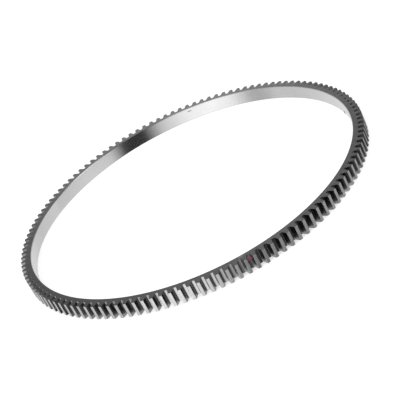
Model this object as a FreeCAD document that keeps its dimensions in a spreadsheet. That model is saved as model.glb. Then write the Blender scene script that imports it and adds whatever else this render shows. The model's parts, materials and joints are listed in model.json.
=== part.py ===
import FreeCAD, Part
import math
import os
import Sketcher

# Flywheel ring gear, in millimetres.
# It is one steel ring. Its plain bore is shrunk onto the rim of a flywheel, and the
# straight teeth round its outside mesh with the starter motor's pinion.
# The ring lies flat: its axis is Z, and the origin is the centre of its lower side.

driving_sizes = {
    "tooth_count": 128,
    "tooth_module": 2.5,        # pitch diameter divided by the number of teeth
    "pressure_angle": 14.5,     # degrees, where a flank crosses the pitch circle
    "addendum_factor": 1.0,     # tooth height above the pitch circle, in modules
    "dedendum_factor": 1.25,    # gap depth below the pitch circle, in modules
    "root_corner": 0.5,         # the slant from a gap's flat bottom up to each flank
    "rim_wall": 4.5,            # solid steel between the gap bottoms and the bore
    "face_width": 13,           # from the lower side to the upper side
    "bore_chamfer": 0.5,        # lead-in at both ends of the bore, at 45 degrees
}

document = FreeCAD.newDocument("flywheel_ring_gear")
sheet = document.addObject("Spreadsheet::Sheet", "sizes")
for row, (word, number) in enumerate(driving_sizes.items(), start=1):
    sheet.set(f"A{row}", word)
    sheet.set(f"B{row}", str(number))
    sheet.setAlias(f"B{row}", word)
document.recompute()

# What follows from the driving sizes, as formulas that the sketches are bound to.
addendum = "(sizes.addendum_factor * sizes.tooth_module)"
dedendum = "(sizes.dedendum_factor * sizes.tooth_module)"
pitch_radius = "(sizes.tooth_count * sizes.tooth_module / 2)"
tip_radius = f"({pitch_radius} + {addendum})"
root_radius = f"({pitch_radius} - {dedendum})"
bore_radius = f"({root_radius} - sizes.rim_wall)"

# The involute springs from the base circle. At the pitch circle a gap is half the turn
# from one tooth to the next, so half of it is a quarter. The pinion's teeth reach down to
# the form circle.
pressure_angle = "(sizes.pressure_angle * 1 deg)"
base_radius = f"({pitch_radius} * cos({pressure_angle}))"
form_radius = f"({pitch_radius} - {addendum})"
half_gap_at_pitch = "(90 deg / sizes.tooth_count)"
mouth_distance = f"({tip_radius} + {addendum})"

# How the sketcher's constraints name the ends of a curve, the origin and the X axis.
START, END = range(1, 3)
ORIGIN = (-1, 1)
X_AXIS = -1


def value(formula):
    """The number that a formula gives with the sizes now in the sheet."""
    result = sheet.evalExpression(formula)
    return float(getattr(result, "Value", result))


def origin_feature(body, role):
    """The plane or axis of a body's own origin that has this role."""
    for feature in body.Origin.OriginFeatures:
        if feature.Role == role:
            return feature
    raise ValueError(f"no origin feature {role}")


def new_sketch(body, name, plane):
    """An empty sketch on one of the body's origin planes."""
    sketch = body.newObject("Sketcher::SketchObject", name)
    sketch.AttachmentSupport = [(origin_feature(body, plane), "")]
    sketch.MapMode = "FlatFace"
    return sketch


def hold(sketch, kind, *where):
    """Add a constraint that has no size."""
    sketch.addConstraint(Sketcher.Constraint(kind, *where))


def bind(sketch, name, formula, kind, *where):
    """Add a named dimension and tie it to a formula of the sheet."""
    index = sketch.addConstraint(Sketcher.Constraint(kind, *where, value(formula)))
    sketch.renameConstraint(index, name)
    sketch.setExpression(f"Constraints.{name}", formula)


def turned_blank(body):
    """The ring as it leaves the lathe: bore with its chamfers, flat sides, outside."""
    sketch = new_sketch(body, "blank_section", "XZ_Plane")
    inner = value(bore_radius)
    outer = value(tip_radius)
    top = driving_sizes["face_width"]
    break_size = driving_sizes["bore_chamfer"]
    corners = [
        FreeCAD.Vector(inner + break_size, 0),
        FreeCAD.Vector(outer, 0),
        FreeCAD.Vector(outer, top),
        FreeCAD.Vector(inner + break_size, top),
        FreeCAD.Vector(inner, top - break_size),
        FreeCAD.Vector(inner, break_size),
    ]
    lower, outside, upper, upper_chamfer, bore, lower_chamfer = range(len(corners))
    for corner, next_corner in zip(corners, corners[1:] + corners[:1]):
        sketch.addGeometry(Part.LineSegment(corner, next_corner), False)
    for line in range(len(corners)):
        hold(sketch, "Coincident", line, END, (line + 1) % len(corners), START)
    for line in (lower, upper):
        hold(sketch, "Horizontal", line)
    for line in (outside, bore):
        hold(sketch, "Vertical", line)
    hold(sketch, "PointOnObject", lower, START, X_AXIS)
    bind(sketch, "bore_radius", bore_radius, "DistanceX", *ORIGIN, bore, START)
    bind(sketch, "tip_radius", tip_radius, "DistanceX", *ORIGIN, outside, START)
    bind(sketch, "face_width", "sizes.face_width", "DistanceY", *ORIGIN, upper, START)
    chamfers = (("lower", lower_chamfer, START, END), ("upper", upper_chamfer, END, START))
    for name, chamfer, bore_end, side_end in chamfers:
        bind(sketch, f"{name}_chamfer_across", "sizes.bore_chamfer",
             "DistanceX", chamfer, bore_end, chamfer, side_end)
        bind(sketch, f"{name}_chamfer_along", "sizes.bore_chamfer",
             "DistanceY", chamfer, END, chamfer, START)
    blank = body.newObject("PartDesign::Revolution", "turned_blank")
    blank.Profile = sketch
    blank.ReferenceAxis = (sketch, ["V_Axis"])
    blank.Angle = 360
    return blank


def mirrored(point):
    """The same point on the other side of the gap's centre line."""
    return FreeCAD.Vector(point.x, -point.y, 0)


def involute_point(radius):
    """Formulas for where a gap's upper flank crosses a circle about the axis."""
    angle = f"acos({base_radius} / {radius})"
    half_gap = (
        f"({half_gap_at_pitch} - ({angle} - {pressure_angle})"
        f" + (tan({angle}) - tan({pressure_angle})) * 1 rad)"
    )
    return f"({radius} * cos({half_gap}))", f"({radius} * sin({half_gap}))"


def lower_point(circle, across):
    """The lower of a circle's two points at this distance along X."""
    drop = math.sqrt(circle.Radius ** 2 - (across - circle.Center.x) ** 2)
    return FreeCAD.Vector(across, circle.Center.y - drop, 0)


def tooth_gap(body):
    """One tooth gap, cut right through the blank along +X.

    A flank is the arc through the involute's points on the form circle, the pitch circle
    and the tip circle, which keeps within a hundredth of a millimetre of the involute.
    The bottom is flat and ends in a short slant on both sides, where the hob leaves a
    small fillet.
    """
    sketch = new_sketch(body, "gap_outline", "XY_Plane")
    circles = {"form": form_radius, "pitch": pitch_radius, "tip": tip_radius}
    formulas = {name: involute_point(radius) for name, radius in circles.items()}
    marks = [
        FreeCAD.Vector(value(across), value(up), 0) for across, up in formulas.values()
    ]
    flank_circle = Part.Circle(*marks)
    slant = driving_sizes["root_corner"]
    foot = lower_point(flank_circle, value(root_radius) + slant)
    mouth = lower_point(flank_circle, value(mouth_distance))
    corner = foot - FreeCAD.Vector(slant, slant, 0)

    upper_flank, lower_flank, mouth_line, bottom, upper_slant, lower_slant = range(6)
    middle = marks[1]
    sketch.addGeometry(Part.Arc(foot, middle, mouth), False)
    sketch.addGeometry(Part.Arc(mirrored(mouth), mirrored(middle), mirrored(foot)), False)
    lines = (
        (mouth, mirrored(mouth)),
        (corner, mirrored(corner)),
        (foot, corner),
        (mirrored(corner), mirrored(foot)),
    )
    for line in lines:
        sketch.addGeometry(Part.LineSegment(*line), False)

    hold(sketch, "Coincident", upper_flank, END, mouth_line, START)
    hold(sketch, "Coincident", mouth_line, END, lower_flank, START)
    hold(sketch, "Coincident", upper_flank, START, upper_slant, START)
    hold(sketch, "Coincident", upper_slant, END, bottom, START)
    hold(sketch, "Coincident", bottom, END, lower_slant, START)
    hold(sketch, "Coincident", lower_slant, END, lower_flank, END)
    hold(sketch, "Symmetric", upper_flank, END, lower_flank, START, X_AXIS)
    hold(sketch, "Symmetric", upper_flank, START, lower_flank, END, X_AXIS)
    hold(sketch, "Symmetric", bottom, START, bottom, END, X_AXIS)
    hold(sketch, "Equal", upper_flank, lower_flank)
    for name, point in zip(formulas, marks):
        mark = sketch.addGeometry(Part.Point(point), True)
        across, up = formulas[name]
        hold(sketch, "PointOnObject", mark, START, upper_flank)
        bind(sketch, f"{name}_x", across, "DistanceX", *ORIGIN, mark, START)
        bind(sketch, f"{name}_y", up, "DistanceY", *ORIGIN, mark, START)
    bind(sketch, "root_radius", root_radius, "DistanceX", *ORIGIN, bottom, START)
    bind(sketch, "mouth_distance", mouth_distance, "DistanceX", *ORIGIN, mouth_line, START)
    for name, kind in (("slant_across", "DistanceX"), ("slant_up", "DistanceY")):
        bind(sketch, name, "sizes.root_corner", kind, upper_slant, END, upper_slant, START)

    gap = body.newObject("PartDesign::Pocket", "tooth_gap")
    gap.Profile = sketch
    gap.Type = "ThroughAll"
    gap.SideType = "Symmetric"
    return gap


def all_gaps(body, gap):
    """The gap repeated round the ring, which leaves the teeth standing."""
    pattern = body.newObject("PartDesign::PolarPattern", "all_gaps")
    pattern.Originals = [gap]
    pattern.Axis = (origin_feature(body, "Z_Axis"), [""])
    pattern.Angle = 360
    pattern.setExpression("Occurrences", "sizes.tooth_count")
    return pattern


def check(condition, message):
    """Stop with a plain message when something isn't as it should be."""
    if not condition:
        raise RuntimeError(message)


ring = document.addObject("PartDesign::Body", "ring_gear")
ring.Label = "ring_gear"
blank = turned_blank(ring)
document.recompute()
gap = tooth_gap(ring)
document.recompute()
pattern = all_gaps(ring, gap)
ring.Tip = pattern
document.recompute()

for item in document.Objects:
    check(not {"Invalid", "Error"} & set(item.State), f"{item.Name} failed: {item.State}")
    if item.TypeId == "Sketcher::SketchObject":
        check(item.FullyConstrained, f"{item.Name} isn't fully constrained")
one_gap = blank.Shape.Volume - gap.Shape.Volume
every_gap = blank.Shape.Volume - pattern.Shape.Volume
check(one_gap > 0, "the tooth gap cuts nothing")
check(
    round(every_gap / one_gap, 2) == pattern.Occurrences,
    "the pattern doesn't cut every gap",
)

os.makedirs("parts", exist_ok=True)
shape = ring.Shape
check(not shape.isNull() and shape.isValid(), "the ring has no valid shape")
check(len(shape.Solids) == 1, "the ring isn't one solid")
shape.exportStep(f"parts/{ring.Label}.step")
print(
    f"{ring.Label}: tip radius {value(tip_radius):.3f}, root radius {value(root_radius):.3f},"
    f" bore radius {value(bore_radius):.3f} mm, volume {shape.Volume:.0f} mm3"
)
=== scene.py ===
import json
import math

import bmesh
import bpy
from mathutils import Matrix, Quaternion, Vector


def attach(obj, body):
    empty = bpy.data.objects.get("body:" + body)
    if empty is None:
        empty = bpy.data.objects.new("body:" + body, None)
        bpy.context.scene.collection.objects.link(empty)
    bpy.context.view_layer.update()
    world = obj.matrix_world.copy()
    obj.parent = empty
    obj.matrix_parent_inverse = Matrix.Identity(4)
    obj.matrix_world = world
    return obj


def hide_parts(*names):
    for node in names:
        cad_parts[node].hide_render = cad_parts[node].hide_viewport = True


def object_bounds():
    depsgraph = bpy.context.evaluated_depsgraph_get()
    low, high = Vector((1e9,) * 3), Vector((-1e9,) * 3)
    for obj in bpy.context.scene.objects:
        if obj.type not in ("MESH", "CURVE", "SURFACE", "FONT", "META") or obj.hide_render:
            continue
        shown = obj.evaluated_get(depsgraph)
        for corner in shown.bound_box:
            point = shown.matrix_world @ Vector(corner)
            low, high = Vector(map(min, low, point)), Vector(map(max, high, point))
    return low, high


# A starter ring gear lying flat, in metres: its axis is Z and its lower side is at Z = 0.

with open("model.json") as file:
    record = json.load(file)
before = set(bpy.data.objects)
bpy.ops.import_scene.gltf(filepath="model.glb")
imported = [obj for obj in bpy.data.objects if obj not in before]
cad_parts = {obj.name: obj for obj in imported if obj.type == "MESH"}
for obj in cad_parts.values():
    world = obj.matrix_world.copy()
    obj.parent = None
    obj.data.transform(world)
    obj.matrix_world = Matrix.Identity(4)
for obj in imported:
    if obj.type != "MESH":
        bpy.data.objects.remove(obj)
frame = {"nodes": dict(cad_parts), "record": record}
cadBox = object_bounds()
cadRing = frame["nodes"]["ring_gear"]
mounts = {mount["name"]: mount for mount in frame["record"]["mounts"]}

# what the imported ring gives
boreRadius = mounts["bore"]["dims"]["r_mm"] / 1000
tipRadius = max(math.hypot(vert.co.x, vert.co.y) for vert in cadRing.data.vertices)
faceWidth = cadBox[1].z - cadBox[0].z
boreChamfer = (faceWidth - mounts["bore"]["dims"]["length_mm"] / 1000) / 2
print("frame loaded: bore radius", round(boreRadius, 5), "tip radius", round(tipRadius, 5))

ringValues = {
    "toothCount": 128,
    "pressureAngle": math.radians(14.5),
    "dedendum": 1.25,          # a gap's depth below the pitch circle, in modules
    "flankPoints": 4,
    "rootFillet": 0.0004,
    "rootFilletSteps": 3,
    "tipRounding": 0.00015,
    "tipRoundingSteps": 2,
    "edgeBreak": 0.00012,      # on the ends of the teeth
    "edgeBreakSteps": 2,
    "rootDepth": 0.00025,      # how far up a gap's bottom its brighter steel reaches, which is painted light there
    "landDepth": 0.0001,       # and a tooth's land this far down
    "weld": 1e-6,
}

# the gear's circles, worked out from the tip circle
toothModule = 2 * tipRadius / (ringValues["toothCount"] + 2)
pitchRadius = toothModule * ringValues["toothCount"] / 2
rootRadius = tipRadius - (1 + ringValues["dedendum"]) * toothModule
rimMiddle = (boreRadius + rootRadius) / 2

# the places of the ring's materials
finishes = {"bore": 0, "side": 1, "tip": 2, "flank": 3, "root": 4}


def involute(angle):
    return math.tan(angle) - angle


def halfGapAngle(radius):
    # half of the gap between two teeth at this radius, seen from the axis
    pressureAngle = ringValues["pressureAngle"]
    baseRadius = pitchRadius * math.cos(pressureAngle)
    atPitch = math.pi / (2 * ringValues["toothCount"])
    return atPitch + involute(math.acos(baseRadius / radius)) - involute(pressureAngle)


def onCircle(radius, angle):
    return Vector((radius * math.cos(angle), radius * math.sin(angle), 0))


def roundCorner(mesh, corner, size, steps):
    bmesh.ops.bevel(mesh, geom=[corner], offset=size, segments=steps,
                    profile=0.5, affect="VERTICES", material=-1)


def buildOutline(mesh):
    # half a gap and half a tooth as a wire, then its corners rounded
    values = ringValues
    steps = values["flankPoints"]
    radii = [rootRadius + (tipRadius - rootRadius) * step / steps for step in range(steps + 1)]
    points = [onCircle(rootRadius, 0)]
    points += [onCircle(radius, halfGapAngle(radius)) for radius in radii]
    points.append(onCircle(tipRadius, math.pi / values["toothCount"]))
    verts = [mesh.verts.new(point) for point in points]
    for pair in zip(verts, verts[1:]):
        mesh.edges.new(pair)
    rootCorner, tipCorner = verts[1], verts[-2]
    roundCorner(mesh, rootCorner, values["rootFillet"], values["rootFilletSteps"])
    roundCorner(mesh, tipCorner, values["tipRounding"], values["tipRoundingSteps"])


def isWall(face):
    return abs(face.normal.z) < 0.5    # and not part of a flat side


def finishOf(face):
    radius = Vector(face.calc_center_median()[:2]).length
    if not isWall(face):
        return "side"
    if radius < rimMiddle:
        return "bore"
    if radius > tipRadius - ringValues["landDepth"]:
        return "tip"
    if radius < rootRadius + ringValues["rootDepth"]:
        return "root"
    return "flank"


def buildRing():
    values = ringValues
    mesh = bmesh.new()
    buildOutline(mesh)

    # from the outline in to the bore, then mirrored to one whole gap
    made = bmesh.ops.extrude_edge_only(mesh, edges=mesh.edges[:])["geom"]
    for vert in (item for item in made if isinstance(item, bmesh.types.BMVert)):
        vert.co *= boreRadius / vert.co.length
    bmesh.ops.mirror(mesh, geom=mesh.verts[:] + mesh.edges[:] + mesh.faces[:],
                     matrix=Matrix.Identity(4), merge_dist=values["weld"], axis="Y")

    # copied round the ring and drawn up to the face width
    pitch = 2 * math.pi / values["toothCount"]
    copies = values["toothCount"] - 1
    bmesh.ops.spin(mesh, geom=mesh.verts[:] + mesh.edges[:] + mesh.faces[:], cent=(0, 0, 0),
                   axis=(0, 0, 1), dvec=(0, 0, 0), angle=pitch * copies, steps=copies,
                   use_merge=False, use_duplicate=True)
    bmesh.ops.remove_doubles(mesh, verts=mesh.verts[:], dist=values["weld"])
    raised = bmesh.ops.extrude_face_region(mesh, geom=mesh.faces[:])["geom"]
    bmesh.ops.translate(mesh, vec=(0, 0, faceWidth),
                        verts=[item for item in raised if isinstance(item, bmesh.types.BMVert)])
    bmesh.ops.recalc_face_normals(mesh, faces=mesh.faces[:])
    for face in mesh.faces:
        face.material_index = finishes[finishOf(face)]

    # the edges where a wall meets a flat side
    rims = [edge for edge in mesh.edges
            if len({isWall(face) for face in edge.link_faces}) == 2]
    boreEdges = [edge for edge in rims if edge.verts[0].co.xy.length < rimMiddle]
    toothEdges = [edge for edge in rims if edge.verts[0].co.xy.length > rimMiddle]
    bmesh.ops.bevel(mesh, geom=boreEdges, offset=boreChamfer, segments=1, profile=0.5,
                    affect="EDGES", material=finishes["bore"])
    bmesh.ops.bevel(mesh, geom=toothEdges, offset=values["edgeBreak"],
                    segments=values["edgeBreakSteps"], profile=0.5, affect="EDGES", material=-1)
    return mesh


def finishPiece(name, mesh, materials):
    data = bpy.data.meshes.new(name)
    mesh.to_mesh(data)
    mesh.free()
    for face in data.polygons:
        face.use_smooth = True
    data.set_sharp_from_angle(angle=math.radians(35))    # so rounded edges stay smooth
    piece = bpy.data.objects.new(name, data)
    bpy.context.scene.collection.objects.link(piece)
    for material in materials:
        data.materials.append(material)
    return piece


def newMaterial(name):
    material = bpy.data.materials.new(name)
    material.use_nodes = True
    nodes = material.node_tree.nodes
    return material, nodes, material.node_tree.links, nodes["Principled BSDF"]


def node(nodes, kind, operation=None, **inputs):
    made = nodes.new("ShaderNode" + kind)
    if operation:
        made.operation = operation
    for name, value in inputs.items():
        made.inputs[name].default_value = value
    return made


def mapRange(nodes, links, value, source, target):
    # each end of the target is a number or the output of another node
    made = node(nodes, "MapRange")
    made.inputs["From Min"].default_value, made.inputs["From Max"].default_value = source
    links.new(value, made.inputs["Value"])
    for name, end in zip(("To Min", "To Max"), target):
        if isinstance(end, bpy.types.NodeSocket):
            links.new(end, made.inputs[name])
        else:
            made.inputs[name].default_value = end
    return made.outputs["Result"]


def toolMarks(nodes, links, outward, across, values):
    # noise that is fine across the marks and long round the ring
    count = node(nodes, "Math", "MULTIPLY")
    count.inputs[1].default_value = 1 / values["markWidth"]
    links.new(across, count.inputs[0])
    stretch = node(nodes, "VectorMath", "SCALE", Scale=tipRadius / values["markLength"])
    links.new(outward, stretch.inputs[0])
    stretched = node(nodes, "SeparateXYZ")
    links.new(stretch.outputs[0], stretched.inputs[0])
    where = node(nodes, "CombineXYZ")
    links.new(stretched.outputs["X"], where.inputs["X"])
    links.new(stretched.outputs["Y"], where.inputs["Y"])
    links.new(count.outputs[0], where.inputs["Z"])
    marks = node(nodes, "TexNoise", Scale=1, Detail=2, Roughness=0.6)
    links.new(where.outputs[0], marks.inputs["Vector"])
    return marks.outputs["Fac"]


def steel(name, values):
    # steel with tool marks that run round the ring, side by side along its height or radius
    material, nodes, links, shader = newMaterial(name)
    shader.inputs["Metallic"].default_value = values["metallic"]
    shader.inputs["Anisotropic"].default_value = values["spread"]
    place = node(nodes, "TexCoord").outputs["Object"]
    parts = node(nodes, "SeparateXYZ")
    links.new(place, parts.inputs[0])
    flat = node(nodes, "VectorMath", "MULTIPLY")
    flat.inputs[1].default_value = (1, 1, 0)
    links.new(place, flat.inputs[0])
    outward = node(nodes, "VectorMath", "NORMALIZE")
    links.new(flat.outputs[0], outward.inputs[0])
    radius = node(nodes, "VectorMath", "LENGTH")
    links.new(flat.outputs[0], radius.inputs[0])
    across = {"height": parts.outputs["Z"], "radius": radius.outputs["Value"]}[values["marksAlong"]]
    marks = toolMarks(nodes, links, outward.outputs[0], across, values)

    # the blotches that oil and handling leave
    blotches = node(nodes, "TexNoise", Scale=1 / values["blotchSize"], Detail=3, Roughness=0.55)
    links.new(place, blotches.inputs["Vector"])
    both = node(nodes, "Math", "ADD")
    links.new(marks, both.inputs[0])
    links.new(blotches.outputs["Fac"], both.inputs[1])
    noiseSpan = (0.6, 1.4)     # of the two added up
    shade = mapRange(nodes, links, both.outputs[0], noiseSpan, values["colour"])
    rough = mapRange(nodes, links, both.outputs[0], noiseSpan, values["roughness"])
    bump = node(nodes, "Bump", Strength=values["bump"], Distance=values["markDepth"])
    links.new(marks, bump.inputs["Height"])
    links.new(shade, shader.inputs["Base Color"])
    links.new(rough, shader.inputs["Roughness"])
    links.new(bump.outputs[0], shader.inputs["Normal"])

    if values["tangent"] == "up":
        upward = node(nodes, "CombineXYZ", Z=1)
        links.new(upward.outputs[0], shader.inputs["Tangent"])
    elif values["tangent"] == "outward":
        links.new(outward.outputs[0], shader.inputs["Tangent"])
    return material


# Colour and roughness each change between two levels with the marks and blotches. Spread is
# how far the marks smear a reflection along the tangent.
boreSteel = steel("boreSteel", {
    "colour": (0.59, 0.65), "roughness": (0.17, 0.19), "metallic": 1, "spread": 1.0,
    "tangent": "up", "marksAlong": "height", "markWidth": 0.0003, "markLength": 0.03,
    "markDepth": 0.000002, "bump": 0.12, "blotchSize": 0.012,
})
sideSteel = steel("sideSteel", {
    "colour": (0.13, 0.18), "roughness": (0.19, 0.23), "metallic": 1, "spread": 0.5,
    "tangent": "outward", "marksAlong": "radius", "markWidth": 0.0004, "markLength": 0.02,
    "markDepth": 0.000004, "bump": 0.3, "blotchSize": 0.006,
})
tipSteel = steel("tipSteel", {
    "colour": (0.56, 0.70), "roughness": (0.32, 0.40), "metallic": 0.62, "spread": 1.0,
    "tangent": "up", "marksAlong": "height", "markWidth": 0.0005, "markLength": 0.01,
    "markDepth": 0.000004, "bump": 0.3, "blotchSize": 0.004,
})
# the flanks: the same cut steel as a gap's bottom, made darker as painted shade in the gaps between
# the teeth
flankSteelPaintedShade = steel("flankSteelPaintedShade", {
    "colour": (0.20, 0.30), "roughness": (0.20, 0.28), "metallic": 1, "spread": 0.0,
    "tangent": "none", "marksAlong": "height", "markWidth": 0.0009, "markLength": 0.006,
    "markDepth": 0.000006, "bump": 0.3, "blotchSize": 0.003,
})
# a gap's bottom: the flanks' steel made brighter, as painted light
rootSteelPaintedLight = steel("rootSteelPaintedLight", {
    "colour": (0.48, 0.56), "roughness": (0.22, 0.26), "metallic": 1, "spread": 0.6,
    "tangent": "up", "marksAlong": "height", "markWidth": 0.0009, "markLength": 0.006,
    "markDepth": 0.000004, "bump": 0.3, "blotchSize": 0.003,
})

# Marks on the steel. A size runs outward, round the ring and up.
redPaint = {
    "azimuth": 275.7, "radius": 0.1577, "height": 0.0095, "size": (0.0028, 0.0024, 0.002),
    "ragged": 0.0012, "cover": 1.0,
    "inputs": {"Base Color": (0.5, 0.21, 0.28, 1), "Metallic": 0.0, "Roughness": 0.5},
}
paleSmear = {
    "azimuth": 273.8, "radius": 0.1547, "height": faceWidth, "size": (0.0014, 0.0022, 0.002),
    "ragged": 0.001, "cover": 0.8,
    "inputs": {"Base Color": (0.26, 0.29, 0.28, 1), "Metallic": 0.0, "Roughness": 0.6},
}
paleTip = dict(paleSmear, azimuth=274.2, radius=tipRadius, height=0.0095,
               size=(0.003, 0.0016, 0.003))
scratch = {
    "azimuth": 76.8, "radius": boreRadius, "height": 0.01, "size": (0.002, 0.0023, 0.0006),
    "ragged": 0.0006, "cover": 0.9,
    "inputs": {"Base Color": (0.25, 0.25, 0.25, 1), "Roughness": 0.5},
}
nick = {
    "azimuth": 2.6, "radius": boreRadius, "height": 0.001, "size": (0.002, 0.0019, 0.002),
    "ragged": 0.0005, "cover": 1.0,
    "inputs": {"Base Color": (0.1, 0.1, 0.1, 1), "Roughness": 0.5},
}


def mixInput(nodes, links, socket, amount, wanted):
    # blend what a shader input has now towards another value
    under = socket.links[0].from_socket if socket.is_linked else None
    mix = node(nodes, "Mix")
    mix.data_type = "RGBA" if socket.type == "RGBA" else "FLOAT"
    factor, first, second = [slot for slot in mix.inputs if slot.enabled]
    links.new(amount, factor)
    if under:
        links.new(under, first)
    else:
        first.default_value = socket.default_value
    second.default_value = wanted
    links.new([slot for slot in mix.outputs if slot.enabled][0], socket)


def markOn(material, values):
    # another colour round one point, with a ragged edge
    nodes, links = material.node_tree.nodes, material.node_tree.links
    place = node(nodes, "TexCoord").outputs["Object"]
    turn = math.radians(values["azimuth"])
    centred = node(nodes, "Mapping")
    centred.vector_type = "TEXTURE"
    centred.inputs["Location"].default_value = (*onCircle(values["radius"], turn).xy, values["height"])
    centred.inputs["Rotation"].default_value = (0, 0, turn)
    centred.inputs["Scale"].default_value = values["size"]
    links.new(place, centred.inputs["Vector"])
    ragged = node(nodes, "TexNoise", Scale=1 / values["ragged"], Detail=3)
    links.new(place, ragged.inputs["Vector"])
    distance = node(nodes, "VectorMath", "LENGTH")
    links.new(centred.outputs[0], distance.inputs[0])
    uneven = node(nodes, "Math", "MULTIPLY_ADD")
    uneven.inputs[1].default_value = 1.2     # how far the noise eats into the edge
    links.new(ragged.outputs["Fac"], uneven.inputs[0])
    links.new(distance.outputs["Value"], uneven.inputs[2])
    outside, inside = 1.75, 1.35    # where the mark has faded out, and where it is whole
    amount = mapRange(nodes, links, uneven.outputs[0], (outside, inside), (0, values["cover"]))
    for name, wanted in values["inputs"].items():
        mixInput(nodes, links, nodes["Principled BSDF"].inputs[name], amount, wanted)


for steelUnder in (flankSteelPaintedShade, rootSteelPaintedLight):
    markOn(steelUnder, redPaint)
for mark in (scratch, nick):
    markOn(boreSteel, mark)
markOn(sideSteel, paleSmear)
markOn(tipSteel, paleTip)
print("finishes made")

ring = finishPiece("ring", buildRing(), [boreSteel, sideSteel, tipSteel, flankSteelPaintedShade, rootSteelPaintedLight])
evenShading = ring.modifiers.new("evenShading", "WEIGHTED_NORMAL")   # wide faces stay flat
evenShading.mode = "FACE_AREA"
evenShading.keep_sharp = True
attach(ring, "root")
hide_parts("ring_gear")
print("ring made:", len(ring.data.polygons), "faces")


def emptyMaterial(name):
    material = bpy.data.materials.new(name)
    material.use_nodes = True
    nodes = material.node_tree.nodes
    nodes.clear()
    return material, nodes, material.node_tree.links, node(nodes, "OutputMaterial")


floorValues = {"size": 12.0, "albedo": 0.8, "ownLight": 0.6}


def buildFloor():
    # pale paper, whose own light only the camera sees
    mesh = bmesh.new()
    bmesh.ops.create_grid(mesh, x_segments=1, y_segments=1, size=floorValues["size"] / 2)
    material, nodes, links, output = emptyMaterial("floorPaper")
    paper = node(nodes, "BsdfDiffuse")
    paper.inputs["Color"].default_value = (floorValues["albedo"],) * 3 + (1,)
    path = node(nodes, "LightPath")
    seen = node(nodes, "Math", "MULTIPLY")
    seen.inputs[1].default_value = floorValues["ownLight"]
    links.new(path.outputs["Is Camera Ray"], seen.inputs[0])
    glow = node(nodes, "Emission")
    links.new(seen.outputs[0], glow.inputs["Strength"])
    both = node(nodes, "AddShader")
    links.new(paper.outputs[0], both.inputs[0])
    links.new(glow.outputs[0], both.inputs[1])
    links.new(both.outputs[0], output.inputs["Surface"])
    floor = finishPiece("floor", mesh, [material])
    floor.visible_glossy = False


def levelsByAzimuth(nodes, links, direction, levels, brightest):
    # a grey level that changes with the azimuth of a direction, from -180 to 180 degrees
    parts = node(nodes, "SeparateXYZ")
    links.new(direction, parts.inputs[0])
    angle = node(nodes, "Math", "ARCTAN2")
    links.new(parts.outputs["Y"], angle.inputs[0])
    links.new(parts.outputs["X"], angle.inputs[1])
    turn = node(nodes, "Math", "MULTIPLY_ADD")
    turn.inputs[1].default_value = 1 / (2 * math.pi)
    turn.inputs[2].default_value = 0.5
    links.new(angle.outputs[0], turn.inputs[0])
    ramp = node(nodes, "ValToRGB")
    stops = sorted(((azimuth / 360 + 0.5) % 1, level) for azimuth, level in levels)
    elements = ramp.color_ramp.elements
    while len(elements) < len(stops):
        elements.new(1)
    for element, (position, level) in zip(elements, stops):
        element.position = position
        element.color = (level / brightest,) * 3 + (1,)
    links.new(turn.outputs[0], ramp.inputs[0])
    scale = node(nodes, "Math", "MULTIPLY")
    scale.inputs[1].default_value = brightest
    links.new(ramp.outputs["Color"], scale.inputs[0])
    return scale.outputs[0]


worldValues = {
    "light": 0.55,             # on matt surfaces, from all sides
    # what the steel mirrors, as grey levels by azimuth in degrees
    "brightest": 2.0,
    "low": ((0, 1.0), (35, 0.85), (70, 0.95), (81, 0.87), (95, 0.97), (130, 0.97), (155, 0.86),
            (180, 0.8), (191, 0.6), (199, 0.62), (214, 1.3), (230, 1.5), (248, 1.32), (268, 0.9),
            (281, 0.06), (298, 0.02), (309, 1.05), (318, 1.15), (348, 1.08)),
    "high": ((0, 0.5), (30, 0.5), (60, 0.8), (78, 1.0), (83, 1.1), (86, 1.7), (90, 1.3),
             (94, 1.2), (99, 0.7), (130, 0.6), (150, 1.2), (200, 2.0), (250, 2.0), (262, 0.8),
             (285, 0.4), (330, 0.4)),
    # heights in the sky, as the sine of the angle above the horizon
    "horizon": (-0.05, 0.12),  # from the low part to the high one
    "fade": (0.36, 0.4),       # the high part darkens here
    "fadedTo": 0.42,
}


def buildWorld():
    values = worldValues
    world = bpy.data.worlds.new("studio")
    bpy.context.scene.world = world
    world.use_nodes = True
    nodes, links = world.node_tree.nodes, world.node_tree.links
    direction = node(nodes, "TexCoord").outputs["Generated"]
    parts = node(nodes, "SeparateXYZ")
    links.new(direction, parts.inputs[0])
    height = parts.outputs["Z"]
    low = levelsByAzimuth(nodes, links, direction, values["low"], values["brightest"])
    high = levelsByAzimuth(nodes, links, direction, values["high"], values["brightest"])
    faded = node(nodes, "Math", "MULTIPLY")
    links.new(high, faded.inputs[0])
    links.new(mapRange(nodes, links, height, values["fade"], (1, values["fadedTo"])), faded.inputs[1])
    studio = mapRange(nodes, links, height, values["horizon"], (low, faded.outputs[0]))

    # the steel mirrors the studio, the camera sees white, and the rest is plain light
    path = node(nodes, "LightPath")
    mirrored = mapRange(nodes, links, path.outputs["Is Glossy Ray"], (0, 1), (values["light"], studio))
    seen = mapRange(nodes, links, path.outputs["Is Camera Ray"], (0, 1), (mirrored, 1))
    background = nodes["Background"]
    background.inputs["Color"].default_value = (1, 1, 1, 1)
    links.new(seen, background.inputs["Strength"])


softboxes = {
    "leftSoftbox": {"light": 1.6, "azimuth": 228, "size": (0.7, 1.0), "distance": 1.1, "height": 0.8},
    "rightSoftbox": {"light": 1.5, "azimuth": 350, "size": (0.6, 0.6), "distance": 0.9, "height": 1.0},
}


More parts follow.
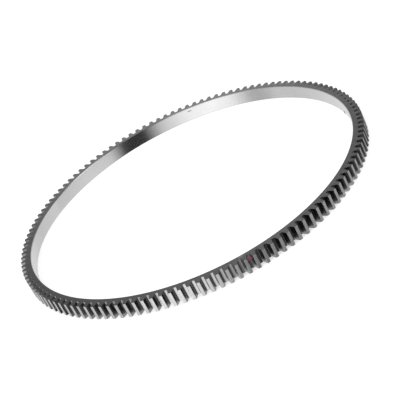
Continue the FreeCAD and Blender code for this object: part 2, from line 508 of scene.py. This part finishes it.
def buildSoftbox(name, values):
    light = bpy.data.lights.new(name, "AREA")
    light.shape = "RECTANGLE"
    light.size, light.size_y = values["size"]
    light.energy = values["light"] * math.pi * light.size * light.size_y    # watts for this brightness
    place = onCircle(values["distance"], math.radians(values["azimuth"]))
    place.z = values["height"]
    lamp = bpy.data.objects.new(name, light)
    lamp.location = place
    lamp.rotation_euler = (-place).to_track_quat("-Z", "Y").to_euler()
    bpy.context.scene.collection.objects.link(lamp)


cardValues = {
    "radius": 0.26, "start": 262, "end": 385, "low": -0.11, "high": 0.10, "steps": 24,
    "levels": ((262, 1.0), (265, 0.8), (268.5, 0.5), (272, 0.38), (275, 0.22), (278, 0.12),
               (282, 0.03), (295, 0.04), (306, 0.15), (330, 0.34), (344, 0.5), (353, 0.35),
               (370, 0.3), (385, 0.5)),
}


def buildCard():
    # a low dark card close to the teeth on the right, which only the steel mirrors
    values = cardValues
    start, end = math.radians(values["start"]), math.radians(values["end"])
    foot = onCircle(values["radius"], start).xy
    mesh = bmesh.new()
    verts = [mesh.verts.new((*foot, values[height])) for height in ("low", "high")]
    bmesh.ops.spin(mesh, geom=verts + [mesh.edges.new(verts)], cent=(0, 0, 0), axis=(0, 0, 1),
                   dvec=(0, 0, 0), angle=end - start, steps=values["steps"])
    material, nodes, links, output = emptyMaterial("cardPaper")
    place = node(nodes, "TexCoord").outputs["Object"]
    level = levelsByAzimuth(nodes, links, place, values["levels"], 1)
    paper = node(nodes, "Emission")
    links.new(level, paper.inputs["Strength"])
    links.new(paper.outputs[0], output.inputs["Surface"])
    card = finishPiece("card", mesh, [material])
    card.visible_camera = False
    card.visible_diffuse = False
    card.visible_shadow = False


cameraValues = {
    "pictureWidth": 400,       # pixels, as the focal length and the offset below are
    "focal": 1247.2,
    "centreOffset": (-9.524, 10.184),   # of the ring's centre, to the right and up
    "sensor": 36.0,            # millimetres
    "distance": 1.0910,
    "elevation": math.radians(26.365),
    "turn": math.radians(-0.217),
    "roll": math.radians(27.151),
}


def buildCamera():
    values = cameraValues
    camera = bpy.data.objects.new("camera", bpy.data.cameras.new("camera"))
    bpy.context.scene.collection.objects.link(camera)
    bpy.context.scene.camera = camera
    camera.data.sensor_width = values["sensor"]
    camera.data.lens = values["focal"] / values["pictureWidth"] * values["sensor"]
    back = Vector((0, -math.cos(values["elevation"]), math.sin(values["elevation"])))
    back.rotate(Quaternion((0, 0, 1), values["turn"]))
    centre = Vector((0, 0, faceWidth / 2))
    right, up = values["centreOffset"]
    aimed = (-back).to_track_quat("-Z", "Y") @ Quaternion((0, 0, 1), -values["roll"])
    offCentre = Vector((0, 0, -1)).rotation_difference(Vector((right, up, -values["focal"])))
    camera.location = centre + back * values["distance"]
    camera.rotation_euler = (aimed @ offCentre.inverted()).to_euler()


buildFloor()
buildWorld()
for name, softbox in softboxes.items():
    buildSoftbox(name, softbox)
buildCard()
buildCamera()
bpy.context.scene.view_settings.view_transform = "Standard"
print("studio made")
